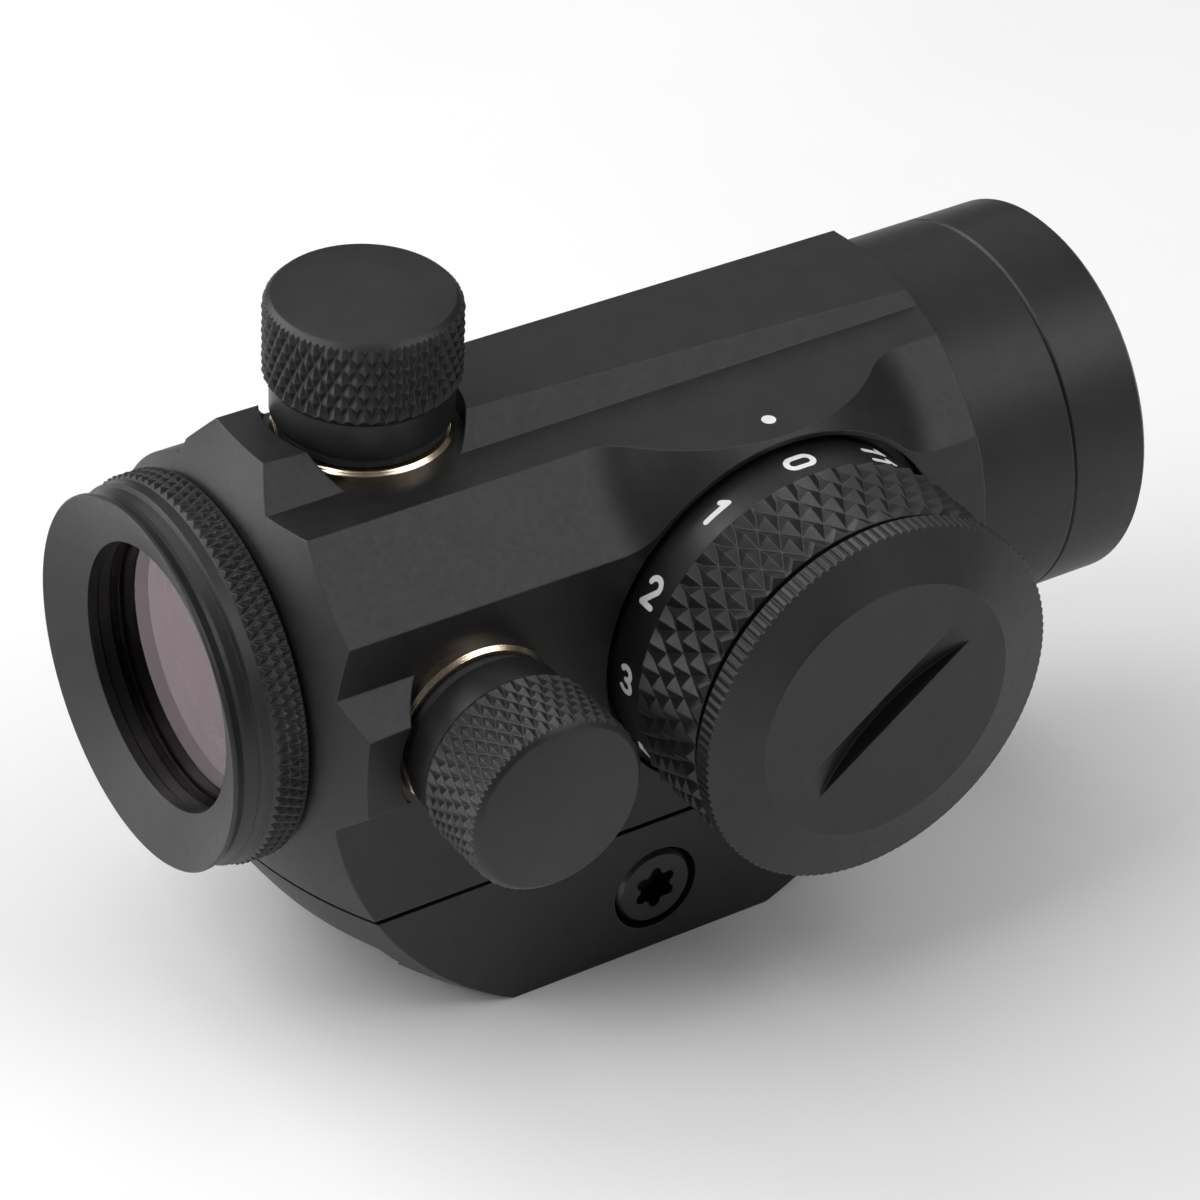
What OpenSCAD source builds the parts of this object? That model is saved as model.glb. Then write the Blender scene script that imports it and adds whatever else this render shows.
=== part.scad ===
/* [Tube] */
// Height of the tube's axis above the rail's top face
axis_h = 18.2; // [17:0.1:22]
// Outside diameter of the objective ring
ring_d = 26; // [25:0.1:27]
// Front end of the objective ring, from the origin
front_y = 35; // [34.5:0.1:36]
// Rear end of the eyepiece bezel, from the origin
rear_y = -34; // [-35:0.1:-33.8]
// Bore of the housing behind the gimbal
bore_d = 20.8; // [20.4:0.1:21]

/* [Housing] */
// Half width and half height of the faceted housing
half_w = 13.4; // [13:0.05:13.6]
// Inner end of each flat ledge, where the corner chamfer starts
ledge_end = 8.4; // [7.5:0.1:9]
// Height of each turret rib's crest at its rear end, from the tube's axis
rib_h = 15.75; // [15:0.05:16]
// Fall of a rib's crest towards the front
rib_fall = 1.8; // [0:0.1:2.5]
// Radius of the turned rear end
rear_dome_r = 30.6; // [30:0.1:31.5]
// Radius of the turned front end
front_dome_r = 29.5; // [29:0.1:30]
// Radius of the dome that carries the brightness dial
boss_dome_r = 18.8; // [18.6:0.05:18.9]

/* [Turrets] */
// Distance of both turrets behind the origin
turret_y = -17.9; // [-18.5:0.1:-17]
// Diameter of a turret cap over its knurl
cap_d = 12.5; // [12:0.1:12.8]
// Top of a turret cap, from the tube's axis
cap_top = 23.7; // [22.5:0.1:24.5]

/* [Dial] */
// Distance of the brightness dial's axis ahead of the origin
dial_y = 5; // [4.8:0.1:5.2]
// Diameter of the dial's knurled part and of the battery cap
dial_d = 25.6; // [25:0.1:25.8]
// Outer face of the battery cap, from the tube's axis
dial_face = 25.6; // [25.2:0.1:26]
// Outer edge of the battery cap's face, from the tube's axis
rim_face = 24.6; // [24.4:0.1:24.8]
// Diameter of the coin cell
cell_d = 20; // [20:0.1:20]
// Thickness of the coin cell
cell_t = 3.2; // [3.2:0.1:3.2]

/* [Rail clamp] */
// Width of the rail that the clamp is made for
rail_w = 21.2; // [21.2:0.1:21.2]
// Depth of the base below the rail's top face
base_depth = 5.8; // [5.2:0.1:6.2]
// Distance of the clamp screw behind the origin
screw_y = -3.2; // [-4:0.1:-2.4]

/* [Hidden] */
$fn = 96;

fit = 0.05;
bore_r = bore_d / 2;
ring_r = ring_d / 2;
rear_dome_y = -0.5;
front_dome_y = -4.9;
facet_y = [-28.7, 21.7];
rib_foot = 4.9;
rib_crest = 2.9;

front_bore_r = 11.3;
front_bore_y = 13.4;
ring_y = 29.06;
neck_r = 12.2;
neck_end = 30.6;
window_y = 31.7;
window_t = 1.2;
window_r = 10.95;
filter_r = 11.6;

bezel_r = 12.3;
bezel_y = -32.2;
shoulder_r = 12.45;
grip_r = 12.75;
rear_neck_r = 11.6;
sleeve_r = bore_r - 0.05;
rear_lens_y = -30.9;
rear_lens_t = 1.5;
rear_lens_r = 9.65;
sleeve_end = -26.6;

gimbal_y = 17;
gimbal_r = 11;
gimbal_pin_r = 0.5;
tube_r = 9.3;
tube_bore_r = 8.5;
head_r = 9.9;
head_bore_r = 9.15;
tube_y = [-25.8, 14.9, 19.4];

seat_r = 6.4;
body_flange_r = 5.75;
body_flange_z = [half_w, half_w + 0.9];
body_plug_r = 4.2;
body_neck_r = 4.55;
body_neck_z = 18.6;
drum_r = 2.95;
pin_r = 1.25;
pin_z = tube_r + 0.04;
skirt_z = 15.3;

recess_r = 12.85;
recess_x = 11.9;
web_x = [12.5, 14.1];
band_r = 12.3;
band_end = 16.3;
dial_end = 22.7;
cavity_r = 10.9;
hub_r = 6.8;
hub_top = 15.5;
board_t = 0.6;
tray_x = 16.9;
cell_x = 17.65;
cap_x = 23.14;
slot_w = 2.2;
slot_depth = 1.3;
slot_r = 18.4;
detent_r = 8.4;
seal_r = 0.2;

base_top = axis_h - half_w;
seat_w = rail_w / 2 + 0.15;
flank_in = 8.9;
screw_z = -1;
screw_r = 2;
screw_head_r = 2.85;
screw_seat = 11.5;
jaw_y = [-13.2, 6.8];
jaw_out = 15.2;
jaw_top = 3.9;
base_screw_at = [[-6.5, -15], [6.5, -15], [-6.5, 9], [6.5, 9]];
guide_at = [-10.4, 4];
guide_z = 1.9;

// Lifts its children from the tube's axis to the row's frame
module on_axis() translate([0, 0, axis_h]) children();

// A flat outline, drawn as x and z, pulled out from y0 to y1
module prism_y(y0, y1) translate([0, y1, 0]) rotate([90, 0, 0]) linear_extrude(y1 - y0) children();

// An outline drawn as radius and y, turned about the tube's axis
module turn_y() rotate([-90, 0, 0]) rotate_extrude() children();

module disc_y(r, y0, y1) translate([0, y0, 0]) rotate([-90, 0, 0]) cylinder(r = r, h = y1 - y0);

module ring_y(r, hole, y0, y1) difference() {
    disc_y(r, y0, y1);
    disc_y(hole, y0 - 1, y1 + 1);
}

module disc_z(r, z0, z1) translate([0, 0, z0]) cylinder(r = r, h = z1 - z0);

module ring_z(r, hole, z0, z1) difference() {
    disc_z(r, z0, z1);
    disc_z(hole, z0 - 1, z1 + 1);
}

// Places a turret drawn about +Z on the top or on the right of the tube
module elevation_side() on_axis() translate([0, turret_y, 0]) children();
module windage_side() on_axis() translate([0, turret_y, 0]) rotate([0, 90, 0]) children();

// Places a part drawn about +Z on the brightness dial's axis
module dial_side() on_axis() translate([0, dial_y, 0]) rotate([0, 90, 0]) children();

// The two turned ends that round off the housing, the base and the jaw
module end_domes() intersection() {
    translate([0, rear_dome_y, 0]) sphere(r = rear_dome_r);
    translate([0, front_dome_y, 0]) sphere(r = front_dome_r);
}

// ---- housing ----

// Cross section: round on the left, faceted on the right, square below
module housing_outline() {
    circle(r = half_w);
    translate([-half_w, -half_w]) square([half_w, half_w]);
    polygon([[0, -half_w], [half_w, -half_w], [half_w, ledge_end], [ledge_end, half_w],
        [0, half_w]]);
}

// One turret rib along the top of the tube
module rib(y0, y1) difference() {
    prism_y(y0, y1) polygon([[-rib_foot, 11.5], [rib_foot, 11.5], [rib_foot, half_w],
        [rib_crest, rib_h], [-rib_crest, rib_h], [-rib_foot, half_w]]);
    translate([-10, -26.6, rib_h]) rotate([-rib_fall, 0, 0]) translate([0, -5, 0])
        cube([20, 60, 4]);
}

// Dome under the brightness dial, swept down to the corner chamfer in a concave curve
module dial_boss() {
    r = 6;
    flat = (half_w + ledge_end) / sqrt(2);
    sweep_z = flat + r;
    sweep_r = sqrt(pow(boss_dome_r + r, 2) - pow(sweep_z, 2));
    k = boss_dome_r / (boss_dome_r + r);
    intersection() {
        translate([0, dial_y - half_w, 0]) cube([half_w, 2 * half_w, half_w]);
        translate([0, dial_y, 0]) rotate([0, 45, 0]) rotate_extrude() {
            intersection() {
                circle(r = boss_dome_r);
                translate([0, flat - 1.5]) square([sweep_r * k, boss_dome_r]);
            }
            difference() {
                polygon([[sweep_r * k, flat - 1.5], [sweep_r, flat - 1.5], [sweep_r, flat],
                    [sweep_r * k, sweep_z * k]]);
                translate([sweep_r, sweep_z]) circle(r = r);
            }
        }
    }
}

module housing_shell() {
    intersection() {
        union() {
            prism_y(facet_y[0], facet_y[1]) housing_outline();
            rib(facet_y[0], facet_y[1]);
            rotate([0, 90, 0]) rib(facet_y[0], turret_y + 4);
            dial_boss();
        }
        end_domes();
    }
    disc_y(ring_r, facet_y[1] - 8, ring_y - 0.1);
    disc_y(neck_r, ring_y - 1, neck_end);
    disc_y(rear_neck_r, bezel_y + 0.3, facet_y[0] + 1);
}

// Holes for one turret: cap seat, body and the way through to the inner tube
module turret_holes() {
    disc_z(seat_r, half_w, 20);
    disc_z(body_plug_r, 5, half_w + 1);
}

module main_housing() color("dimgray") on_axis() difference() {
    housing_shell();
    disc_y(bore_r, rear_y, front_bore_y + 0.01);
    disc_y(front_bore_r, front_bore_y, front_y);
    translate([0, turret_y, 0]) turret_holes();
    translate([0, turret_y, 0]) rotate([0, 90, 0]) turret_holes();
    translate([0, dial_y, 0]) rotate([0, 90, 0]) {
        disc_z(recess_r, recess_x, 20);
        translate([-detent_r, 0, 0]) disc_z(0.8, recess_x - 3.4, recess_x + 1);
        for (a = [30:120:270]) rotate(a) translate([4.6, 0, 0]) disc_z(0.5, 11.3, recess_x + 1);
    }
    for (s = [0, 180]) translate([0, gimbal_y, 0]) rotate([0, s, 0])
        disc_z(gimbal_pin_r + fit, 5, 12.45);
    for (p = base_screw_at) translate([p[0], p[1], -half_w - 1]) cylinder(r = 1.25, h = 4);
    translate([11.2, dial_y, half_w - 0.2]) cylinder(r = 0.47, h = 1);
}

module index_dot() color("white") on_axis()
    translate([11.2, dial_y, half_w - 0.2]) cylinder(r = 0.47, h = 0.21);

// ---- objective end ----

module objective_ring() color("dimgray") on_axis() turn_y() polygon([
    [neck_r, ring_y], [ring_r - 0.2, ring_y], [ring_r, ring_y + 0.2],
    [ring_r, front_y - 0.35], [ring_r - 0.35, front_y], [filter_r + 0.2, front_y],
    [filter_r, front_y - 0.2], [filter_r, 33.7], [window_r, 33.7], [window_r, window_y - 0.4],
    [10, window_y - 0.4], [10, neck_end], [neck_r, neck_end]]);

module front_window() color("lightblue", 0.4) on_axis()
    disc_y(window_r, window_y, window_y + window_t);

module front_seal() color("black") on_axis()
    turn_y() translate([10.5, window_y - seal_r]) circle(r = seal_r);

module front_retainer() color("dimgray") on_axis()
    ring_y(window_r, 9.9, window_y + window_t, window_y + window_t + 0.7);

// ---- eyepiece end ----

module eyepiece_bezel() color("dimgray") on_axis() turn_y() polygon([
    [sleeve_r, sleeve_end], [rear_lens_r + 0.05, sleeve_end], [rear_lens_r + 0.05, rear_lens_y],
    [9.1, rear_lens_y], [9.1, -31.7], [8.85, -31.9], [8.85, rear_y + 1.4],
    [bezel_r - 0.1, rear_y], [bezel_r, rear_y + 0.1], [bezel_r, rear_y + 0.3],
    [bezel_r - 0.3, rear_y + 0.9], [bezel_r - 0.3, rear_y + 1.2], [bezel_r - 0.1, bezel_y],
    [sleeve_r, bezel_y]]);

module eyepiece_ring() color("dimgray") on_axis() turn_y() polygon([
    [rear_neck_r, bezel_y], [bezel_r - 0.1, bezel_y], [shoulder_r, bezel_y + 0.2],
    [shoulder_r, bezel_y + 0.95], [grip_r, bezel_y + 1.2],
    [grip_r, facet_y[0] - 0.45], [grip_r - 0.35, facet_y[0] - 0.1],
    [rear_neck_r, facet_y[0] - 0.1]]);

module rear_lens() color("mistyrose", 0.5) on_axis()
    disc_y(rear_lens_r, rear_lens_y, rear_lens_y + rear_lens_t);

module rear_retainer() color("dimgray") on_axis()
    ring_y(rear_lens_r, 8.8, rear_lens_y + rear_lens_t, sleeve_end - 0.1);

// ---- rail base ----

module mount_base() color("gray") difference() {
    intersection() {
        union() {
            translate([-half_w, -40, -base_depth])
                cube([2 * half_w, 80, base_depth + base_top - 0.35]);
            intersection() {
                translate([0.4 - half_w, -40, 0]) cube([2 * half_w - 0.8, 80, base_top]);
                on_axis() translate([0, rear_dome_y, 0]) sphere(r = rear_dome_r - 0.4);
                on_axis() translate([0, front_dome_y, 0]) sphere(r = front_dome_r - 0.4);
            }
        }
        on_axis() end_domes();
    }
    prism_y(-40, 40) polygon([[-20, -10], [-20, 0], [seat_w, 0], [seat_w, -1.75],
        [flank_in, -1.75 - seat_w + flank_in], [flank_in, -10]]);
    translate([-20, jaw_y[0] - 0.2, -1])
        cube([20 - 11, jaw_y[1] - jaw_y[0] + 0.4, jaw_top + 1.2]);
    translate([0, screw_y, screw_z]) rotate([0, 90, 0]) {
        disc_z(screw_r + 0.1, -20, 20);
        disc_z(3.15, screw_seat, 20);
    }
    for (p = base_screw_at) translate([p[0], p[1], 0]) {
        translate([0, 0, -1]) cylinder(r = 2.8, h = 3.1);
        translate([0, 0, 1]) cylinder(r = 1.6, h = 10);
    }
    for (y = guide_at) translate([0, y, guide_z]) rotate([0, 90, 0]) disc_z(0.9, -20, -7.5);
}

module base_screws() color("silver") for (p = base_screw_at) translate([p[0], p[1], 0]) {
    difference() {
        translate([0, 0, 0.2]) cylinder(r = 2.7, h = 1.9);
        translate([0, 0, -0.5]) cylinder(r = 1.25, h = 1.9);
    }
    translate([0, 0, 2.1]) cylinder(r = 1.25, h = base_top + 0.7);
}

module guide_pins() color("silver") for (y = guide_at)
    translate([0, y, guide_z]) rotate([0, 90, 0]) disc_z(0.9, -14.4, -7.5);

module jaw_blank() intersection() {
    prism_y(jaw_y[0], jaw_y[1]) polygon([[-jaw_out, 1 - base_depth], [1 - jaw_out, -base_depth],
        [-flank_in, -base_depth], [-flank_in, -1.85 - seat_w + flank_in], [-seat_w, -1.85],
        [-seat_w, -0.3], [-11.3, -0.3], [-11.3, jaw_top], [1 - jaw_out, jaw_top],
        [-jaw_out, jaw_top - 1]]);
    on_axis() end_domes();
}

module clamp_jaw() color("gray") difference() {
    jaw_blank();
    translate([0, screw_y, screw_z]) rotate([0, 90, 0]) {
        disc_z(screw_r + 0.15, -20, 0);
        rotate(90) translate([0, 0, -20]) cylinder(r = 4.04, h = 20 - jaw_out + 2.4, $fn = 6);
    }
    for (y = guide_at) translate([0, y, guide_z]) rotate([0, 90, 0]) disc_z(0.95, -20, 0);
}

module clamp_nut() color("silver") translate([0, screw_y, screw_z]) rotate([0, 90, 0])
    difference() {
        rotate(90) translate([0, 0, -jaw_out]) cylinder(r = 4.04, h = 2.4, $fn = 6);
        disc_z(screw_r + fit, -20, 0);
    }

// Six-lobed socket of the clamp screw
module lobed_socket() {
    circle(r = 1.15);
    for (a = [0:60:300]) rotate(a) translate([1.15, 0]) circle(r = 0.42);
}

module clamp_screw() color("silver") translate([0, screw_y, screw_z]) rotate([0, 90, 0])
    difference() {
        union() {
            disc_z(screw_r, -16.3, screw_seat + 0.1);
            rotate_extrude() polygon([[0, screw_seat + 0.1], [screw_head_r, screw_seat + 0.1],
                [screw_head_r, 13.05], [screw_head_r - 0.3, 13.35], [0, 13.35]]);
        }
        translate([0, 0, 11.9]) linear_extrude(3) lobed_socket();
    }

// ---- turrets, drawn about +Z ----

module turret_body() difference() {
    union() {
        disc_z(body_plug_r, bore_r + 0.2, half_w + 0.1);
        rotate_extrude() polygon([[0, body_flange_z[0]], [body_flange_r, body_flange_z[0]],
            [body_flange_r, body_flange_z[1] - 0.25], [body_flange_r - 0.25, body_flange_z[1]],
            [0, body_flange_z[1]]]);
        disc_z(body_neck_r, half_w, body_neck_z);
    }
    disc_z(drum_r + fit, 5, 30);
    disc_z(3.75, 5, 12.2);
}

module turret_seal() rotate_extrude() translate([body_neck_r + 0.4, body_flange_z[1] + 0.4])
    circle(r = 0.4);

module turret_cap() rotate_extrude() polygon([
    [4.75, skirt_z], [5.5, skirt_z], [5.77, skirt_z + 0.27], [5.77, 17.75],
    [cap_d / 2, 18.4], [cap_d / 2, cap_top - 0.55], [cap_d / 2 - 0.55, cap_top],
    [0, cap_top], [0, 21], [4.75, 21]]);

module turret_drum() difference() {
    union() {
        disc_z(drum_r, 12.15, body_neck_z + 0.1);
        disc_z(2.3, 11, 12.2);
        disc_z(3.9, body_neck_z + fit, 20.4);
    }
    disc_z(pin_r + fit, 5, 17.5);
    translate([-5, -0.5, 19.4]) cube([10, 1, 2]);
}

module turret_clip() ring_z(3.6, 2.3, 11.5, 12.1);

module turret_pin() rotate_extrude() polygon([
    [0, pin_z], [pin_r - 0.3, pin_z], [pin_r, pin_z + 0.3], [pin_r, 16.6], [0, 16.6]]);

module elevation_body() color("goldenrod") elevation_side() turret_body();
module windage_body() color("goldenrod") windage_side() turret_body();
module elevation_cap() color("dimgray") elevation_side() turret_cap();
module windage_cap() color("dimgray") windage_side() turret_cap();
module elevation_drum() color("gold") elevation_side() turret_drum();
module windage_drum() color("gold") windage_side() turret_drum();
module elevation_clip() color("silver") elevation_side() turret_clip();
module windage_clip() color("silver") windage_side() turret_clip();
module elevation_pin() color("silver") elevation_side() turret_pin();
module windage_pin() color("silver") windage_side() turret_pin();

module turret_seals() color("black") {
    elevation_side() turret_seal();
    windage_side() turret_seal();
}

// ---- moving optics inside the tube ----

module gimbal_holes(r) translate([0, gimbal_y, 0]) for (a = [0, 90]) rotate([0, a, 0])
    disc_z(r, -20, 20);

module gimbal_ring() color("gray") on_axis() difference() {
    ring_y(gimbal_r, 10.35, gimbal_y - 1.5, gimbal_y + 1.5);
    gimbal_holes(gimbal_pin_r);
}

// Two upright pins into the housing, two level pins into the inner tube
module gimbal_pins() color("silver") on_axis() translate([0, gimbal_y, 0]) {
    for (s = [0, 180]) rotate([0, s, 0]) disc_z(gimbal_pin_r, 10.4, 12.3);
    for (s = [90, 270]) rotate([0, s, 0]) disc_z(gimbal_pin_r, 9.4, 10.95);
}

module inner_tube() color("slategray") on_axis() difference() {
    turn_y() polygon([[tube_bore_r, tube_y[0]], [tube_r, tube_y[0]], [tube_r, tube_y[1]],
        [head_r, tube_y[1]], [head_r, tube_y[2]], [head_bore_r, tube_y[2]],
        [head_bore_r, 15.4], [tube_bore_r, 15.4]]);
    translate([0, gimbal_y, 0]) for (s = [90, 270]) rotate([0, s, 0])
        disc_z(gimbal_pin_r + fit, 9.25, 20);
}

// Half section of the reflector's front element, whose rear face is a shallow dish
module dish_section() difference() {
    translate([0, 15.4]) square([head_bore_r, 3.4]);
    translate([0, 16.6 + 40]) circle(r = 40);
}

module reflector_front() color("lightblue", 0.4) on_axis() turn_y() intersection() {
    translate([0, 15.4]) square([head_bore_r, 3.4]);
    translate([0, 16.6 + 40]) circle(r = 40);
}

module reflector_rear() color("lightcyan", 0.4) on_axis() turn_y() dish_section();

module reflector_retainer() color("gray") on_axis() ring_y(head_bore_r, 8.6, 18.8, 19.3);

module emitter_holder() color("black") on_axis() rotate([0, 150, 0]) intersection() {
    difference() {
        translate([-1.6, -24.6, 6.6]) cube([3.2, 3.6, 3]);
        translate([0, -20.5, 7.4]) rotate([90, 0, 0]) cylinder(r = 0.65, h = 2);
    }
    disc_y(tube_bore_r, -30, 0);
}

module led_emitter() color("red") on_axis() rotate([0, 150, 0])
    translate([0, -21.2, 7.4]) rotate([90, 0, 0]) cylinder(r = 0.6, h = 1.25);

// Bowed leaf between the inner tube and the bore, opposite both turrets
module tube_spring() color("silver") on_axis() rotate([0, 225, 0])
    translate([-1.5, turret_y - 5, tube_r + 0.05]) cube([3, 10, 0.25]);

// ---- brightness dial and battery, drawn about +Z from the tube's axis ----

module dial_hub() color("dimgray") dial_side() difference() {
    union() {
        disc_z(hub_r, recess_x, hub_top);
        disc_z(8.2, web_x[1] + 0.2, hub_top);
    }
    for (a = [30:120:270]) rotate(a) translate([4.6, 0, 0]) disc_z(0.85, 10, 20);
}

module switch_board() color("darkgreen") dial_side() difference() {
    disc_z(8.2, hub_top, hub_top + board_t);
    for (a = [30:120:270]) rotate(a) translate([4.6, 0, 0]) disc_z(0.85, 10, 20);
}

module hub_screws() color("silver") dial_side() for (a = [30:120:270]) rotate(a)
    translate([4.6, 0, 0]) {
        disc_z(0.8, recess_x, hub_top + board_t);
        disc_z(0.5, 11.4, recess_x);
        difference() {
            disc_z(1.3, hub_top + board_t, hub_top + board_t + 0.5);
            translate([-2, -0.15, hub_top + board_t + 0.25]) cube([4, 0.3, 1]);
        }
    }

module dial_seal() color("black") dial_side() ring_z(10.4, 9.6, recess_x, recess_x + 0.4);

module detent_ball() color("silver") dial_side() translate([-detent_r, 0, 11.55])
    sphere(r = 0.75);

module detent_spring() color("silver") dial_side() translate([-detent_r, 0, 0])
    disc_z(0.6, recess_x - 3.4, 10.8);

module brightness_dial() color("dimgray") dial_side() difference() {
    rotate_extrude() polygon([[hub_r + 0.1, web_x[0]], [band_r - 0.2, web_x[0]],
        [band_r, web_x[0] + 0.2], [band_r, band_end], [dial_d / 2, band_end + 0.5],
        [dial_d / 2, dial_end - 0.4], [dial_d / 2 - 0.4, dial_end], [cavity_r, dial_end],
        [cavity_r, web_x[1]], [hub_r + 0.1, web_x[1]]]);
    for (a = [0:30:330]) rotate(a) translate([-detent_r, 0, web_x[0] - 0.35]) sphere(r = 0.8);
}

module battery_tray() color("black") dial_side() difference() {
    disc_z(cavity_r, tray_x, 20.5);
    disc_z(cell_d / 2 + 0.1, cell_x, 30);
}

// Two sprung fingers that sweep the board's contacts
module dial_wiper() color("gold") dial_side() for (a = [0, 180]) rotate(a) intersection() {
    ring_z(7.9, 6.7, hub_top + board_t + fit, tray_x);
    translate([0, -2, 0]) cube([10, 4, 20]);
}

module coin_cell() color("lightgray") dial_side() rotate_extrude() polygon([
    [0, cell_x], [8.6, cell_x], [8.6, cell_x + 0.4], [cell_d / 2, cell_x + 0.4],
    [cell_d / 2, cell_x + cell_t - 0.3], [cell_d / 2 - 0.3, cell_x + cell_t],
    [0, cell_x + cell_t]]);

module cap_seal() color("black") dial_side()
    rotate_extrude() translate([11.5, dial_end + seal_r]) circle(r = seal_r);

// Coin slot cut by a round cutter
module coin_slot() rotate(37.4) translate([-slot_w / 2, 0, dial_face + slot_r - slot_depth])
    rotate([0, 90, 0]) cylinder(r = slot_r, h = slot_w);

module battery_cap() color("dimgray") dial_side() difference() {
    rotate_extrude() polygon([[9.4, 21.4], [cavity_r - 0.15, 21.4], [cavity_r - 0.15, cap_x],
        [12, cap_x], [12.1, cap_x + 0.15], [dial_d / 2 - 0.15, cap_x + 0.15],
        [dial_d / 2, cap_x + 0.3], [dial_d / 2, rim_face], [dial_d / 2 - 0.15, rim_face + 0.1],
        [9.25, dial_face - 0.08], [9.15, dial_face], [0, dial_face], [0, 22.6], [9.4, 22.6]]);
    coin_slot();
}

module cap_contact() color("gold") dial_side() {
    disc_z(5, 22.3, 22.6);
    disc_z(2, cell_x + cell_t + 0.15, 22.3);
}

main_housing();
objective_ring();
front_window();
front_seal();
front_retainer();
eyepiece_bezel();
eyepiece_ring();
rear_lens();
rear_retainer();
mount_base();
base_screws();
guide_pins();
index_dot();
elevation_body();
windage_body();
turret_seals();
dial_hub();
switch_board();
hub_screws();
dial_seal();
detent_ball();
detent_spring();
gimbal_ring();
gimbal_pins();
inner_tube();
reflector_front();
reflector_rear();
reflector_retainer();
emitter_holder();
led_emitter();
tube_spring();
elevation_cap();
elevation_drum();
elevation_clip();
elevation_pin();
windage_cap();
windage_drum();
windage_clip();
windage_pin();
brightness_dial();
battery_tray();
dial_wiper();
coin_cell();
cap_seal();
battery_cap();
cap_contact();
clamp_jaw();
clamp_nut();
clamp_screw();
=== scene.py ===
"""Looks of the red dot finder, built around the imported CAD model.

Lengths are in mm unless a comment says otherwise. X is the dial's side, Y the front, Z up.
"""

import math

import bmesh
import bpy
from mathutils import Euler, Matrix, Vector


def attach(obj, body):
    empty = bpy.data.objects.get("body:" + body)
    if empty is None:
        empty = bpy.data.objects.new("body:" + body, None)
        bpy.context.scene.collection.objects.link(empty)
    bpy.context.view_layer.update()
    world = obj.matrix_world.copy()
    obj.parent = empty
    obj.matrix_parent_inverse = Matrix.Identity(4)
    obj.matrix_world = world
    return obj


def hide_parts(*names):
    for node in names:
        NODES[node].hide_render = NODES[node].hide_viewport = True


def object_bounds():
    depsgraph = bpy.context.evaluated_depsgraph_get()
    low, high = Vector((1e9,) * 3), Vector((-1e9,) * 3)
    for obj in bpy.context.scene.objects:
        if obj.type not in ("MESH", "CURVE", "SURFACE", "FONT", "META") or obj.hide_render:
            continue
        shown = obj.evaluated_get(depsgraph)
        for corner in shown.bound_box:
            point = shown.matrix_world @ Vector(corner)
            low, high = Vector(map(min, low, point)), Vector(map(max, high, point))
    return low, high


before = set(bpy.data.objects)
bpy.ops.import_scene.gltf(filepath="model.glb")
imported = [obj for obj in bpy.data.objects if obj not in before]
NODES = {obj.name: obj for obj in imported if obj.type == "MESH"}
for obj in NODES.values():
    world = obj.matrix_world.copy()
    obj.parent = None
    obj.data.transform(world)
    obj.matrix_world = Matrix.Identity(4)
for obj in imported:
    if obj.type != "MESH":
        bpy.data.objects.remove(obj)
cad_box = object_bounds()
SCENE = bpy.context.scene
MM = 0.001

# The same numbers as in the CAD source: heights and places of axes, radii of the dial
AXIS_H = 18.2
TURRET_Y = -17.9
DIAL_Y = 5.0
BAND_R = 12.3
GRIP_R = 12.8
CAP_FACE = 25.6

# A turn of the local Z axis onto X, and the places of the turned pieces' axes
QUARTER = Matrix.Rotation(math.radians(90), 4, "Y")
ALONG_TUBE = (Matrix.Translation((0, 0, AXIS_H))
              @ Matrix.Rotation(math.radians(-90), 4, "X"))
TOP_TURRET = Matrix.Translation((0, TURRET_Y, AXIS_H))
SIDE_TURRET = TOP_TURRET @ QUARTER
DIAL = Matrix.Translation((0, DIAL_Y, AXIS_H)) @ QUARTER


# ---- materials ----

BEVEL_SAMPLES = 6
# How alike the rounded and the true normal are, on an edge and off it
EDGE_FROM, EDGE_TO = 0.9, 0.995
RING_SCALE = 0.314  # scale of Blender's wave texture that gives one ring a unit


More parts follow.
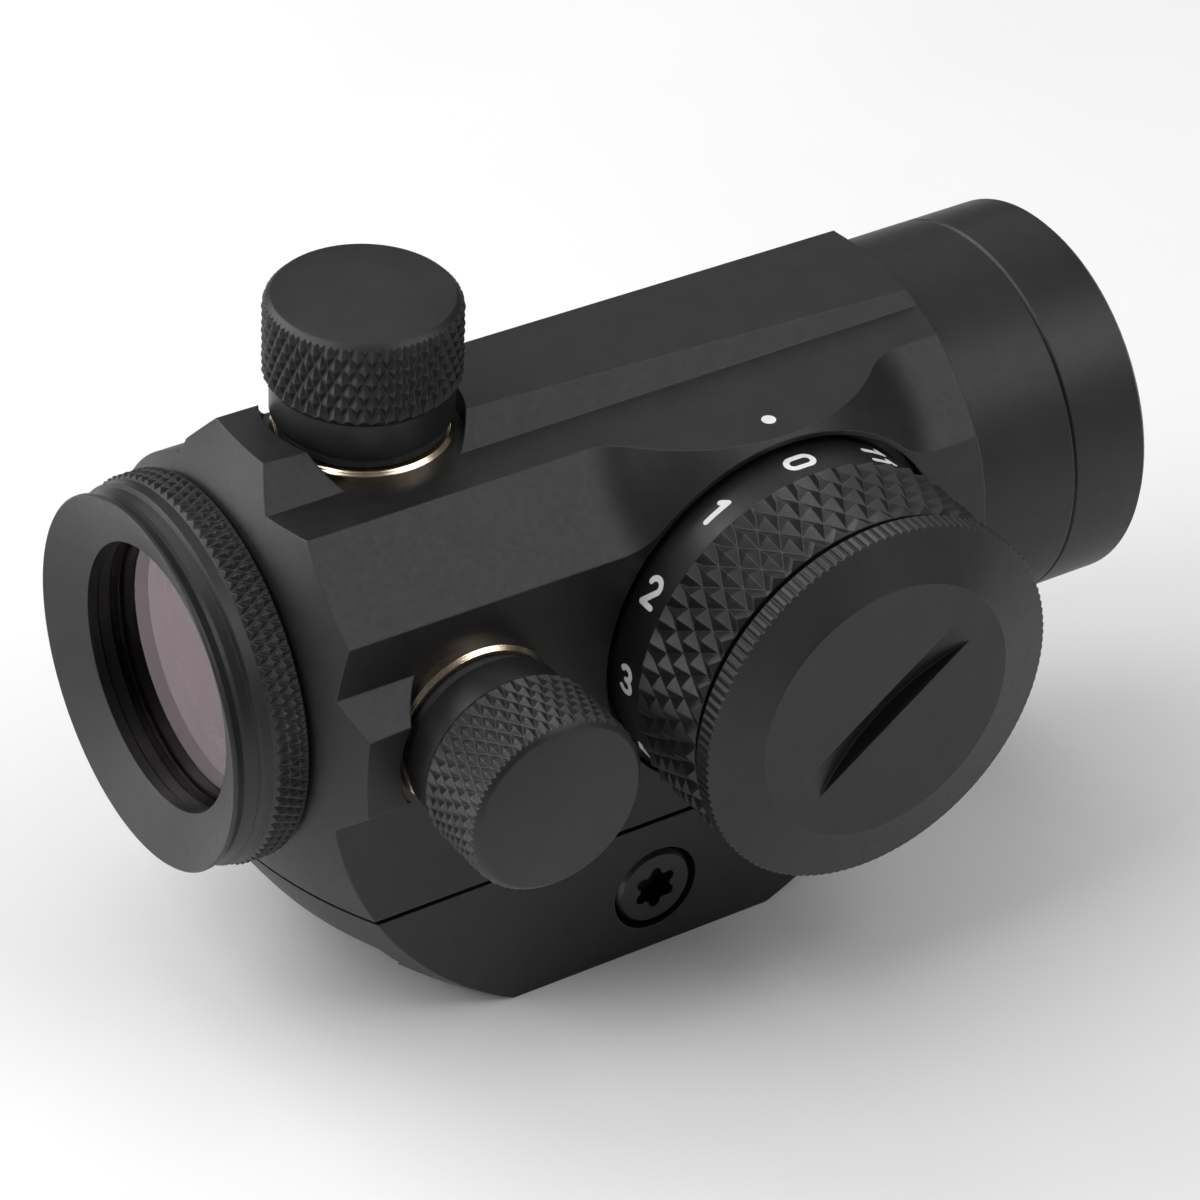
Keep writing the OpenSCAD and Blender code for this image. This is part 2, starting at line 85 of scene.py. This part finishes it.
class Material:
    """A node material around one Principled shader, with short calls for the nodes used here."""

    def __init__(self, name, **values):
        self.material = bpy.data.materials.new(name)
        self.material.use_nodes = True
        self.tree = self.material.node_tree
        self.tree.nodes.clear()
        out = self.add("ShaderNodeOutputMaterial")
        self.shader = self.add("ShaderNodeBsdfPrincipled")
        self.link(self.shader.outputs[0], out.inputs[0])
        for key, value in values.items():
            self.shader.inputs[key.replace("_", " ")].default_value = value
        self.place = self.add("ShaderNodeTexCoord").outputs["Object"]

    def add(self, kind, **values):
        node = self.tree.nodes.new(kind)
        for key, value in values.items():
            setattr(node, key, value)
        return node

    def link(self, a, b):
        self.tree.links.new(a, b)

    def noise(self, size, detail=3.0, roughness=0.55, stretch=(1, 1, 1)):
        """Noise whose grain is about size mm."""
        mapping = self.add("ShaderNodeMapping")
        mapping.inputs["Scale"].default_value = stretch
        self.link(self.place, mapping.inputs["Vector"])
        node = self.add("ShaderNodeTexNoise")
        node.inputs["Scale"].default_value = 1 / (size * MM)
        node.inputs["Detail"].default_value = detail
        node.inputs["Roughness"].default_value = roughness
        self.link(mapping.outputs[0], node.inputs["Vector"])
        return node.outputs["Fac"]

    def ramp(self, source, low, high, start=0.3, end=0.7):
        """source spread between two numbers or two colours."""
        node = self.add("ShaderNodeValToRGB")
        for element, at, value in zip(node.color_ramp.elements, (start, end), (low, high)):
            element.position = at
            colour = value if hasattr(value, "__len__") else (value, value, value)
            element.color = (*colour, 1)
        self.link(source, node.inputs[0])
        return node.outputs[0]

    def mix(self, fac, a, b):
        node = self.add("ShaderNodeMix", data_type="RGBA")
        self.link(fac, node.inputs["Factor"])
        self.link(a, node.inputs["A"])
        self.link(b, node.inputs["B"])
        return node.outputs["Result"]

    def broken_edges(self, radius):
        """A normal that rounds sharp edges by radius mm, and a mask that is 1 on them."""
        bevel = self.add("ShaderNodeBevel", samples=BEVEL_SAMPLES)
        bevel.inputs["Radius"].default_value = radius * MM
        geometry = self.add("ShaderNodeNewGeometry")
        same = self.add("ShaderNodeVectorMath", operation="DOT_PRODUCT")
        self.link(bevel.outputs[0], same.inputs[0])
        self.link(geometry.outputs["Normal"], same.inputs[1])
        mask = self.ramp(same.outputs["Value"], 1.0, 0.0, EDGE_FROM, EDGE_TO)
        return bevel.outputs[0], mask

    def bump(self, source, height, strength=0.5, before=None):
        node = self.add("ShaderNodeBump")
        node.inputs["Strength"].default_value = strength
        node.inputs["Distance"].default_value = height * MM
        self.link(source, node.inputs["Height"])
        if before is not None:
            self.link(before, node.inputs["Normal"])
        self.link(node.outputs[0], self.shader.inputs["Normal"])
        return node.outputs[0]

    def rings(self, place, pitch):
        """Fine lathe lines round the axis of place, whose local Z is that axis."""
        inverse = place.inverted()
        mapping = self.add("ShaderNodeMapping")
        mapping.inputs["Rotation"].default_value = inverse.to_euler()
        mapping.inputs["Location"].default_value = inverse.translation
        mapping.inputs["Scale"].default_value = (1 / MM, 1 / MM, 1 / MM)
        self.link(self.place, mapping.inputs["Vector"])
        wave = self.add("ShaderNodeTexWave", wave_type="RINGS", rings_direction="Z")
        wave.inputs["Scale"].default_value = RING_SCALE / pitch
        wave.inputs["Distortion"].default_value = 1.2
        wave.inputs["Detail"].default_value = 2.0
        wave.inputs["Detail Scale"].default_value = 0.6
        self.link(mapping.outputs[0], wave.inputs["Vector"])
        return wave.outputs["Fac"]


DYE = (0.008, 0.008, 0.0088), (0.0125, 0.0125, 0.0138)  # black dye, darkest and lightest
EDGE_WEAR_AND_HIGHLIGHT_DYE = (0.035, 0.035, 0.038), (0.06, 0.06, 0.065)  # lighter dye on sharp edges, partly rubbed wear and partly a painted highlight where edges catch light
GRAIN_DEPTH = 0.006
ROUGHNESS_SPREAD = 0.06


def anodised(name, turned=None):
    """Bead-blasted black anodised aluminium, or turned where an axis is given."""
    edge_radius, roughness = (0.16, 0.43) if turned is None else (0.1, 0.4)
    m = Material(name, IOR=1.46)
    cloud = m.noise(2.2, 4.0)
    grain = m.noise(0.14, 2.0)
    body = m.ramp(cloud, *DYE)
    edge_wear_and_highlight = m.ramp(grain, *EDGE_WEAR_AND_HIGHLIGHT_DYE)
    rounded, edge = m.broken_edges(edge_radius)
    # Sharp edges get the lighter dye, partly wear and partly a painted highlight for the light the
    # edges catch
    m.link(m.mix(edge, body, edge_wear_and_highlight), m.shader.inputs["Base Color"])
    m.link(m.ramp(m.noise(0.45, 3.0), roughness, roughness + ROUGHNESS_SPREAD),
           m.shader.inputs["Roughness"])
    first = m.bump(grain, GRAIN_DEPTH, 0.25, rounded)
    if turned is not None:
        m.bump(m.rings(turned, pitch=0.09), GRAIN_DEPTH, 0.5, first)
    return m.material


METAL_SHADE = 0.88  # darkest part of a metal's mottle against its own colour


def metal(name, colour, low, high, size=0.3, stretch=(1, 1, 1), turned=None):
    """Bare metal whose roughness runs from low to high."""
    m = Material(name, Metallic=1.0)
    shade = tuple(METAL_SHADE * c for c in colour)
    m.link(m.ramp(m.noise(size, 4.0, 0.6, stretch), shade, colour), m.shader.inputs["Base Color"])
    m.link(m.ramp(m.noise(size * 2, 3.0), low, high), m.shader.inputs["Roughness"])
    first = m.bump(m.noise(0.08, 2.0), 0.004, 0.3)
    if turned is not None:
        m.bump(m.rings(turned, pitch=0.12), 0.008, 0.5, first)
    return m.material


def plain(name, low, high, roughness, grain, height):
    """Rubber, moulded plastic, paint or board: a fine mottled colour with its own grain."""
    m = Material(name, IOR=1.48)
    m.link(m.ramp(m.noise(1.1, 3.0), low, high), m.shader.inputs["Base Color"])
    m.link(m.ramp(m.noise(0.5, 2.0), *roughness), m.shader.inputs["Roughness"])
    m.bump(m.noise(grain, 2.0), height, 0.4)
    return m.material


def glass(name, tint, coat):
    """Coated glass: clear, with a coloured reflection from its film."""
    m = Material(name, IOR=1.52, Transmission_Weight=1.0)
    m.shader.inputs["Specular Tint"].default_value = (*coat, 1)
    m.link(m.ramp(m.noise(9.0, 2.0), tint, tuple(min(1, c * 1.04) for c in tint)),
           m.shader.inputs["Base Color"])
    m.link(m.ramp(m.noise(4.0, 2.0), 0.0, 0.012), m.shader.inputs["Roughness"])
    return m.material


BRASS_COLOUR = (0.8, 0.66, 0.5)

BLACK = anodised("black_anodised")
BLACK_TUBE = anodised("black_anodised_turned", ALONG_TUBE)
BLACK_TOP = anodised("black_anodised_top_cap", TOP_TURRET)
BLACK_SIDE = anodised("black_anodised_side_cap", SIDE_TURRET)
BLACK_DIAL = anodised("black_anodised_dial", DIAL)
BRASS_TOP = metal("brass_top", BRASS_COLOUR, 0.2, 0.26, turned=TOP_TURRET)
BRASS_SIDE = metal("brass_side", BRASS_COLOUR, 0.2, 0.26, turned=SIDE_TURRET)
STEEL = metal("steel", (0.55, 0.54, 0.52), 0.22, 0.38)
BLACK_STEEL = metal("black_steel", (0.075, 0.073, 0.075), 0.3, 0.45)
CONTACT = metal("contact_brass", (0.72, 0.56, 0.3), 0.2, 0.35)
CELL = metal("cell_steel", (0.6, 0.59, 0.57), 0.25, 0.3, 0.25, (1, 8, 1))
RUBBER = plain("black_rubber", (0.011, 0.011, 0.011), (0.02, 0.02, 0.02),
               roughness=(0.6, 0.8), grain=0.2, height=0.01)
PLASTIC = plain("black_plastic", (0.013, 0.013, 0.014), (0.022, 0.022, 0.023),
                roughness=(0.4, 0.55), grain=0.15, height=0.006)
BOARD = plain("board", (0.01, 0.06, 0.025), (0.015, 0.085, 0.035),
              roughness=(0.35, 0.5), grain=0.3, height=0.01)
PAINT = plain("white_paint", (0.72, 0.72, 0.7), (0.86, 0.86, 0.84),
              roughness=(0.5, 0.65), grain=0.12, height=0.004)
LED = plain("led_red", (0.45, 0.01, 0.01), (0.6, 0.02, 0.015),
            roughness=(0.12, 0.2), grain=0.4, height=0.002)
FRONT_GLASS = glass("front_glass", tint=(0.93, 0.95, 0.97), coat=(0.55, 0.7, 1.0))
REAR_GLASS = glass("rear_glass", tint=(0.94, 0.84, 0.88), coat=(0.75, 0.2, 0.35))
DOT_GLASS = glass("reflector_glass", tint=(0.9, 0.94, 0.98), coat=(1.0, 0.45, 0.4))

MATERIAL_OF = {
    "main_housing": BLACK, "mount_base": BLACK, "clamp_jaw": BLACK,
    "objective_ring": BLACK_TUBE, "front_retainer": BLACK_TUBE, "eyepiece_bezel": BLACK_TUBE,
    "eyepiece_ring": BLACK_TUBE, "rear_retainer": BLACK_TUBE, "inner_tube": BLACK_TUBE,
    "gimbal_ring": BLACK_TUBE, "reflector_retainer": BLACK_TUBE,
    "elevation_cap": BLACK_TOP, "windage_cap": BLACK_SIDE,
    "brightness_dial": BLACK_DIAL, "battery_cap": BLACK_DIAL, "dial_hub": BLACK_DIAL,
    "front_window": FRONT_GLASS, "rear_lens": REAR_GLASS,
    "reflector_front": DOT_GLASS, "reflector_rear": DOT_GLASS,
    "front_seal": RUBBER, "turret_seals": RUBBER, "dial_seal": RUBBER, "cap_seal": RUBBER,
    "elevation_body": BRASS_TOP, "elevation_drum": BRASS_TOP,
    "windage_body": BRASS_SIDE, "windage_drum": BRASS_SIDE,
    "base_screws": STEEL, "guide_pins": STEEL, "hub_screws": STEEL, "detent_ball": STEEL,
    "detent_spring": STEEL, "gimbal_pins": STEEL, "tube_spring": STEEL,
    "elevation_clip": STEEL, "windage_clip": STEEL, "elevation_pin": STEEL,
    "windage_pin": STEEL, "clamp_nut": BLACK_STEEL, "clamp_screw": BLACK_STEEL,
    "cap_contact": CONTACT, "dial_wiper": CONTACT, "coin_cell": CELL,
    "battery_tray": PLASTIC, "emitter_holder": PLASTIC, "switch_board": BOARD,
    "index_dot": PAINT, "led_emitter": LED,
}


# ---- meshes ----

SHARP_ANGLE = 32
ON_POLE = 1e-9  # a radius under this is a point on the axis
SAME = 1e-6  # two heights nearer than this are one
LEAST_FALL = 0.01  # a chamfer lower than this takes no groove
FALL_SHARE = 0.97  # how far down its chamfer a groove may run
GROOVE_HALF = 0.34  # half the width of a serration's groove, as a share of its spacing


def finished(name, mesh, material, body, replaced):
    """Makes a piece of a mesh drawn in mm, and seats it on its CAD body."""
    mesh.transform(Matrix.Scale(MM, 4))
    mesh.materials.clear()
    mesh.materials.append(material)
    mesh.polygons.foreach_set("use_smooth", [True] * len(mesh.polygons))
    mesh.set_sharp_from_angle(angle=math.radians(SHARP_ANGLE))
    piece = bpy.data.objects.new(name, mesh)
    SCENE.collection.objects.link(piece)
    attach(piece, body)
    if replaced:
        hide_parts(replaced)


class Knurl:
    """V grooves cut into a turned band. samples is the number of mesh steps across one diamond."""

    samples = 8

    def __init__(self, count, period, depth, start, end, crest=0.15):
        self.count, self.period, self.depth = count, period, depth
        self.start, self.end, self.crest = start, end, crest
        self.step = period / self.samples

    def rows(self):
        n = int((self.end - self.start) / self.step)
        return [self.start + i * self.step for i in range(n + 1)]

    def drop(self, column, s):
        u = column / self.samples
        v = (s - self.start) / self.period
        near = min(abs(w - round(w)) for w in (u + v, u - v))
        return self.depth * (1 - min(1, 2 * near * (1 + self.crest)))

    def diagonal(self, column, s):
        """Which way a quad is split, so that a groove's floor is an edge.

        1 or -1 is one of the two diagonals, and 0 leaves the quad whole.
        """
        row = round((s - self.start) / self.step)
        if (column + row + 1) % self.samples == 0:
            return -1
        return 1 if (column - row) % self.samples == 0 else 0


class Serration(Knurl):
    """Straight grooves along the axis."""

    samples = 6

    def rows(self):
        return [self.start, self.end]

    def drop(self, column, s):
        near = abs(column / self.samples - round(column / self.samples))
        return self.depth * max(0, 1 - near / GROOVE_HALF)

    def diagonal(self, column, s):
        return 0


def run_out(near, far):
    """Fall and rise of the chamfer between an end of a band and the outline's next point."""
    fall = near[0] - far[0]
    if fall < LEAST_FALL:
        return (0, 0)
    return (FALL_SHARE * fall, (far[1] - near[1]) / fall)


def contour_radius(contour, s):
    """Outer radius of an outline's outer side at s."""
    best = 0
    for (r0, s0), (r1, s1) in zip(contour, contour[1:]):
        if min(s0, s1) <= s <= max(s0, s1) and s0 != s1:
            best = max(best, r0 + (r1 - r0) * (s - s0) / (s1 - s0))
    return best


def turned_mesh(name, outer, inner, knurl):
    """A solid of revolution about Z, from outlines of (radius, height) points.

    outer runs from low to high along the outside, inner back along the inside.
    """
    seg = knurl.count * knurl.samples
    low = [p for p in outer if p[1] < knurl.start - SAME]
    high = [p for p in outer if p[1] > knurl.end + SAME]
    inside = {round(p[1], 6) for p in outer
              if knurl.start - SAME <= p[1] <= knurl.end + SAME}
    steps = sorted(inside | {round(s, 6) for s in knurl.rows()} | {knurl.end})
    band = [(contour_radius(outer, s), s) for s in steps]
    rows = low + band + high
    cut = range(len(low), len(low) + len(band))
    crest = max(r for r, s in band)
    ends = {cut[0]: run_out(band[0], low[-1]), cut[-1]: run_out(band[-1], high[0])}
    rows += list(inner)
    verts, index = [], []
    for i, (r, s) in enumerate(rows):
        if r < ON_POLE:
            index.append([len(verts)] * seg)
            verts.append((0, 0, s))
            continue
        ring = []
        for k in range(seg):
            a = 2 * math.pi * k / seg
            at, z = r, s
            if i in ends:
                most, slope = ends[i]
                drop = min(most, knurl.drop(k, s))
                at, z = r - drop, s + drop * slope
            elif i in cut:
                at = min(r, crest - knurl.drop(k, s))
            ring.append(len(verts))
            verts.append((at * math.cos(a), at * math.sin(a), z))
        index.append(ring)
    faces = []
    for i in range(len(rows)):
        j = (i + 1) % len(rows)
        if rows[i][0] < ON_POLE and rows[j][0] < ON_POLE:
            continue
        for k in range(seg):
            n = (k + 1) % seg
            quad = [index[i][k], index[i][n], index[j][n], index[j][k]]
            quad = [q for m, q in enumerate(quad) if q not in quad[:m]]
            split = i in cut and j in cut and len(quad) == 4
            way = knurl.diagonal(k, rows[i][1]) if split else 0
            if way == 1:
                faces += [(quad[0], quad[1], quad[2]), (quad[0], quad[2], quad[3])]
            elif way == -1:
                faces += [(quad[0], quad[1], quad[3]), (quad[1], quad[2], quad[3])]
            else:
                faces.append(tuple(quad))
    mesh = bpy.data.meshes.new(name)
    mesh.from_pydata(verts, [], faces)
    mesh.validate()
    mesh.update()
    return mesh


def turned(name, place, outer, inner, material, body, slot, replaced, knurl, cutter=None):
    """A knurled piece that stands for the CAD node replaced."""
    mesh = turned_mesh(name, outer, inner, knurl)
    if cutter is not None:
        mesh = cut_from(mesh, cutter)
    mesh.transform(place)
    finished(name, mesh, material, body, replaced)


def cut_from(mesh, cutter):
    """mesh with the cutter's mesh taken out of it."""
    objects = [bpy.data.objects.new(n, m) for n, m in (("cut_a", mesh), ("cut_b", cutter))]
    for o in objects:
        SCENE.collection.objects.link(o)
    boolean = objects[0].modifiers.new("cut", "BOOLEAN")
    boolean.object, boolean.solver = objects[1], "EXACT"
    graph = bpy.context.evaluated_depsgraph_get()
    result = bpy.data.meshes.new_from_object(objects[0].evaluated_get(graph))
    for o in objects:
        bpy.data.objects.remove(o)
    return result


def round_cutter(name, radius, width, place):
    """A disc on edge, whose axis is the local X of place."""
    mesh = bpy.data.meshes.new(name)
    b = bmesh.new()
    bmesh.ops.create_cone(b, cap_ends=True, segments=360, radius1=radius, radius2=radius,
                          depth=width, matrix=place @ QUARTER)
    b.to_mesh(mesh)
    b.free()
    return mesh


# ---- knurled pieces that stand for their CAD nodes ----

# Outlines are (radius, height along the piece's axis), and a knurl's numbers are its count of
# diamonds, their length, the depth, the band's two ends and how flat the crests are.
CAP_OUTER = [(4.75, 15.3), (5.5, 15.3), (5.7, 15.38), (5.77, 15.57), (5.77, 17.75), (6.25, 18.4),
             (6.25, 23.15), (5.75, 23.65), (5.64, 23.7)]
CAP_INNER = [(0, 23.7), (0, 21), (4.75, 21)]
CAP_KNURL = Knurl(42, 1.73, 0.3, 18.4, 23.15)
EYE_RING = [(11.6, -32.2), (12.2, -32.2), (12.45, -32.0), (12.45, -31.25), (12.75, -31.0),
            (12.75, -29.15), (12.4, -28.8), (11.6, -28.8)]
EYE_KNURL = Knurl(96, 1.45, 0.28, -31.0, -29.15)
DIAL_OUTER = [(6.9, 12.5), (12.1, 12.5), (12.24, 12.56), (BAND_R, 12.7), (BAND_R, 16.3),
              (GRIP_R, 16.8), (GRIP_R, 22.3), (12.4, 22.7), (10.9, 22.7)]
DIAL_INNER = [(10.9, 14.1), (6.9, 14.1)]
DIAL_KNURL = Knurl(48, 2.69, 0.48, 16.8, 22.3, 0.08)
BATTERY_OUTER = [(9.4, 21.4), (10.75, 21.4), (10.75, 23.14), (12.0, 23.14), (12.1, 23.29),
                 (12.65, 23.29), (GRIP_R, 23.44), (GRIP_R, 24.6), (12.65, 24.7), (9.25, 25.52),
                 (9.15, CAP_FACE)]
BATTERY_INNER = [(0, CAP_FACE), (0, 22.6), (9.4, 22.6)]
BATTERY_SERRATION = Serration(132, 1.0, 0.14, 23.44, 24.6)

# The coin slot is cut by a disc on edge
SLOT_R, SLOT_WIDTH, SLOT_DEPTH, SLOT_TURN = 18.4, 2.2, 1.3, 37.4
SLOT_PLACE = (Matrix.Rotation(math.radians(SLOT_TURN), 4, "Z")
              @ Matrix.Translation((0, 0, CAP_FACE + SLOT_R - SLOT_DEPTH)))
COIN_SLOT = round_cutter("coin_slot", SLOT_R, SLOT_WIDTH, SLOT_PLACE)

turned("elevation_cap_knurled", TOP_TURRET, CAP_OUTER, CAP_INNER, BLACK_TOP,
       "elevation_cover", "black_anodised", "elevation_cap", CAP_KNURL)
turned("windage_cap_knurled", SIDE_TURRET, CAP_OUTER, CAP_INNER, BLACK_SIDE,
       "windage_cover", "black_anodised", "windage_cap", CAP_KNURL)
turned("eyepiece_ring_knurled", ALONG_TUBE, EYE_RING, [], BLACK_TUBE,
       "housing", "black_anodised", "eyepiece_ring", EYE_KNURL)
turned("brightness_dial_knurled", DIAL, DIAL_OUTER, DIAL_INNER, BLACK_DIAL,
       "dial", "black_anodised", "brightness_dial", DIAL_KNURL)
turned("battery_cap_serrated", DIAL, BATTERY_OUTER, BATTERY_INNER, BLACK_DIAL,
       "battery_cover", "black_anodised", "battery_cap", BATTERY_SERRATION, COIN_SLOT)


# ---- dial numbers: generic 0 to 11, as thin filled paint ----


ARC_STEPS = 14


def arc(cx, cy, rx, ry, start, end):
    angles = [math.radians(start + (end - start) * i / ARC_STEPS) for i in range(ARC_STEPS + 1)]
    return [(cx + rx * math.cos(a), cy + ry * math.sin(a)) for a in angles]


STROKES = {
    "0": [arc(0, 0.42, 0.5, 0.5, 0, 180) + arc(0, -0.42, 0.5, 0.5, 180, 360)
          + [(0.5, 0.42)]],
    "1": [[(0.08, -0.92), (0.08, 0.92), (-0.34, 0.58)]],
    "2": [arc(0, 0.42, 0.5, 0.5, 170, -25) + [(-0.5, -0.92), (0.5, -0.92)]],
    "3": [arc(0, 0.46, 0.45, 0.46, 150, -90) + arc(0, -0.46, 0.5, 0.46, 90, -150)],
    "4": [[(0.22, -0.92), (0.22, 0.92), (-0.5, -0.4), (0.5, -0.4)]],
    "5": [[(0.44, 0.92), (-0.38, 0.92), (-0.44, 0.08)] + arc(0, -0.36, 0.5, 0.56, 130, -145)],
    "6": [arc(0, -0.4, 0.5, 0.52, 0, 360), arc(0.32, -0.35, 0.82, 1.27, 175, 95)],
    "7": [[(-0.5, 0.92), (0.5, 0.92), (-0.14, -0.92)]],
    "8": [arc(0, 0.46, 0.42, 0.46, 0, 360), arc(0, -0.44, 0.5, 0.48, 0, 360)],
    "9": [arc(0, 0.4, 0.5, 0.52, 0, 360), arc(-0.32, 0.35, 0.82, 1.27, -5, -85)],
}
STROKE_R = 0.2
DIGIT_GAP = 1.24  # between the middles of two digits
BAND_MIDDLE = 14.74  # where the numbers' middles lie along X
GRID = 0.055
HALF_X, HALF_Y = 0.8, 1.2  # half the grid a digit is drawn on
PROBE = 0.002  # step for the slope of the distance to a stroke
LEAST_SLOPE = 0.2
PULLS = 3  # how often an outline point is pulled onto the stroke's edge
PAINT_FOOT, PAINT_TOP = 0.03, 0.012  # how far the paint reaches into and out of the band
FAR = 9.0


def stroke_distance(x, y, paths):
    best = FAR
    for path in paths:
        for (ax, ay), (bx, by) in zip(path, path[1:]):
            dx, dy = bx - ax, by - ay
            length = dx * dx + dy * dy
            along = 0 if length == 0 else ((x - ax) * dx + (y - ay) * dy) / length
            t = max(0, min(1, along))
            best = min(best, math.hypot(x - ax - t * dx, y - ay - t * dy))
    return best


def pulled(x, y, paths):
    """The point moved towards the stroke's edge."""
    off = stroke_distance(x, y, paths) - STROKE_R
    slope_x = (stroke_distance(x + PROBE, y, paths)
               - stroke_distance(x - PROBE, y, paths)) / (2 * PROBE)
    slope_y = (stroke_distance(x, y + PROBE, paths)
               - stroke_distance(x, y - PROBE, paths)) / (2 * PROBE)
    size = max(LEAST_SLOPE, math.hypot(slope_x, slope_y))
    return x - slope_x / size * off, y - slope_y / size * off


def cell_loop(i, j):
    return [(i, j), (i + 1, j), (i + 1, j + 1), (i, j + 1)]


def number_faces(text):
    """Filled shape of a number as grid cells whose outline is pulled onto the stroke's edge."""
    paths = []
    for i, digit in enumerate(text):
        shift = (i - (len(text) - 1) / 2) * DIGIT_GAP
        paths += [[(x + shift, y) for x, y in path] for path in STROKES[digit]]
    half_x = HALF_X + DIGIT_GAP * (len(text) - 1) / 2
    nx, ny = int(2 * half_x / GRID), int(2 * HALF_Y / GRID)
    cells = []
    for i in range(nx):
        for j in range(ny):
            x, y = -half_x + (i + 0.5) * GRID, -HALF_Y + (j + 0.5) * GRID
            if stroke_distance(x, y, paths) < STROKE_R:
                cells.append((i, j))
    filled = set(cells)
    points = {}
    for cell in cells:
        for corner in cell_loop(*cell):
            points.setdefault(corner, None)
    for i, j in points:
        x, y = -half_x + i * GRID, -HALF_Y + j * GRID
        around = [(i - 1, j - 1), (i, j - 1), (i, j), (i - 1, j)]
        if not all(c in filled for c in around):
            for _ in range(PULLS):
                x, y = pulled(x, y, paths)
        points[(i, j)] = (x, y)
    return points, cells


def dial_numbers():
    """The figures 0 to 11 round the dial's smooth band, one every 30 degrees."""
    verts, faces = [], []
    low, high = BAND_R - PAINT_FOOT, BAND_R + PAINT_TOP
    for number in range(12):
        points, cells = number_faces(str(number))
        turn = math.radians(30 * number)
        top, base = {}, {}
        for key, (x, y) in points.items():
            angle = turn - y / BAND_R
            for r, made in ((high, top), (low, base)):
                made[key] = len(verts)
                verts.append((BAND_MIDDLE + x, DIAL_Y - r * math.sin(angle),
                              AXIS_H + r * math.cos(angle)))
        edges = {}
        for cell in cells:
            loop = cell_loop(*cell)
            faces.append([top[c] for c in loop])
            faces.append([base[c] for c in reversed(loop)])
            for a, b in zip(loop, loop[1:] + loop[:1]):
                if (b, a) in edges:
                    del edges[(b, a)]
                else:
                    edges[(a, b)] = True
        faces += [[top[b], top[a], base[a], base[b]] for a, b in edges]
    mesh = bpy.data.meshes.new("dial_numbers")
    mesh.from_pydata(verts, [], faces)
    mesh.validate()
    mesh.update()
    finished("dial_numbers", mesh, PAINT, "dial", None)


dial_numbers()


# ---- CAD nodes keep their shapes and get their materials ----

for node_name, node in NODES.items():
    node.data.materials.clear()
    node.data.materials.append(MATERIAL_OF[node_name])


# ---- floor, light and camera ----

FLOOR_HALF = 3000
FLOOR_GAP = 0.02  # the floor lies this far under the object

corners = [(-1, -1, 0), (1, -1, 0), (1, 1, 0), (-1, 1, 0)]
floor_mesh = bpy.data.meshes.new("floor")
floor_mesh.from_pydata([Vector(c) * FLOOR_HALF * MM for c in corners], [], [(0, 1, 2, 3)])
floor = bpy.data.objects.new("floor", floor_mesh)
floor.location.z = cad_box[0].z - FLOOR_GAP * MM
SCENE.collection.objects.link(floor)
paper = Material("paper", IOR=1.4)
paper.link(paper.ramp(paper.noise(40.0), (0.9, 0.9, 0.9), (0.93, 0.93, 0.93)),
           paper.shader.inputs["Base Color"])
paper.shader.inputs["Roughness"].default_value = 0.9
floor_mesh.materials.append(paper.material)


# Softboxes: name, place, width and height, power in watts. All of them face AIM.
AIM = Vector((0, 0, 15))
LIGHTS = (
    ("key", (230, 190, 330), (260, 260), 0.62),
    ("overhead", (-60, 20, 420), (420, 420), 0.55),
    ("left_rear", (-300, -200, 270), (260, 260), 0.95),
    ("left_front", (-300, 205, 260), (260, 260), 0.11),
    ("rear_low", (-240, -420, 70), (300, 200), 0.95),
    ("rear_high", (-20, -300, 330), (260, 260), 0.75),
    ("right", (360, 160, 120), (240, 240), 0.1),
)
for light_name, at, (width, height), power in LIGHTS:
    data = bpy.data.lights.new(light_name, "AREA")
    data.shape, data.size, data.size_y = "RECTANGLE", width * MM, height * MM
    data.energy = power
    light = bpy.data.objects.new(light_name, data)
    light.location = Vector(at) * MM
    light.rotation_mode = "QUATERNION"
    light.rotation_quaternion = (AIM - Vector(at)).to_track_quat("-Z", "Y")
    SCENE.collection.objects.link(light)

SKY_STRENGTH = 0.08
world = bpy.data.worlds.new("studio")
world.use_nodes = True
sky = world.node_tree.nodes["Background"]
sky.inputs["Color"].default_value = (1, 1, 1, 1)
sky.inputs["Strength"].default_value = SKY_STRENGTH
SCENE.world = world
SCENE.view_settings.view_transform = "Standard"

# The photograph's viewing angle. The angles are in degrees about X, Y and Z.
CAMERA_AT = (236.245, -161.123, 217.046)
CAMERA_TURN = (54.4032, -2.1715, 57.1689)
SENSOR, LENS = 36, 160.98

camera = bpy.data.objects.new("camera", bpy.data.cameras.new("camera"))
camera.data.sensor_width = SENSOR
camera.data.lens = LENS
camera.data.clip_start, camera.data.clip_end = 0.01, 20
camera_turn = Euler([math.radians(angle) for angle in CAMERA_TURN])
camera.matrix_world = Matrix.LocRotScale(Vector(CAMERA_AT) * MM, camera_turn, None)
SCENE.collection.objects.link(camera)
SCENE.camera = camera
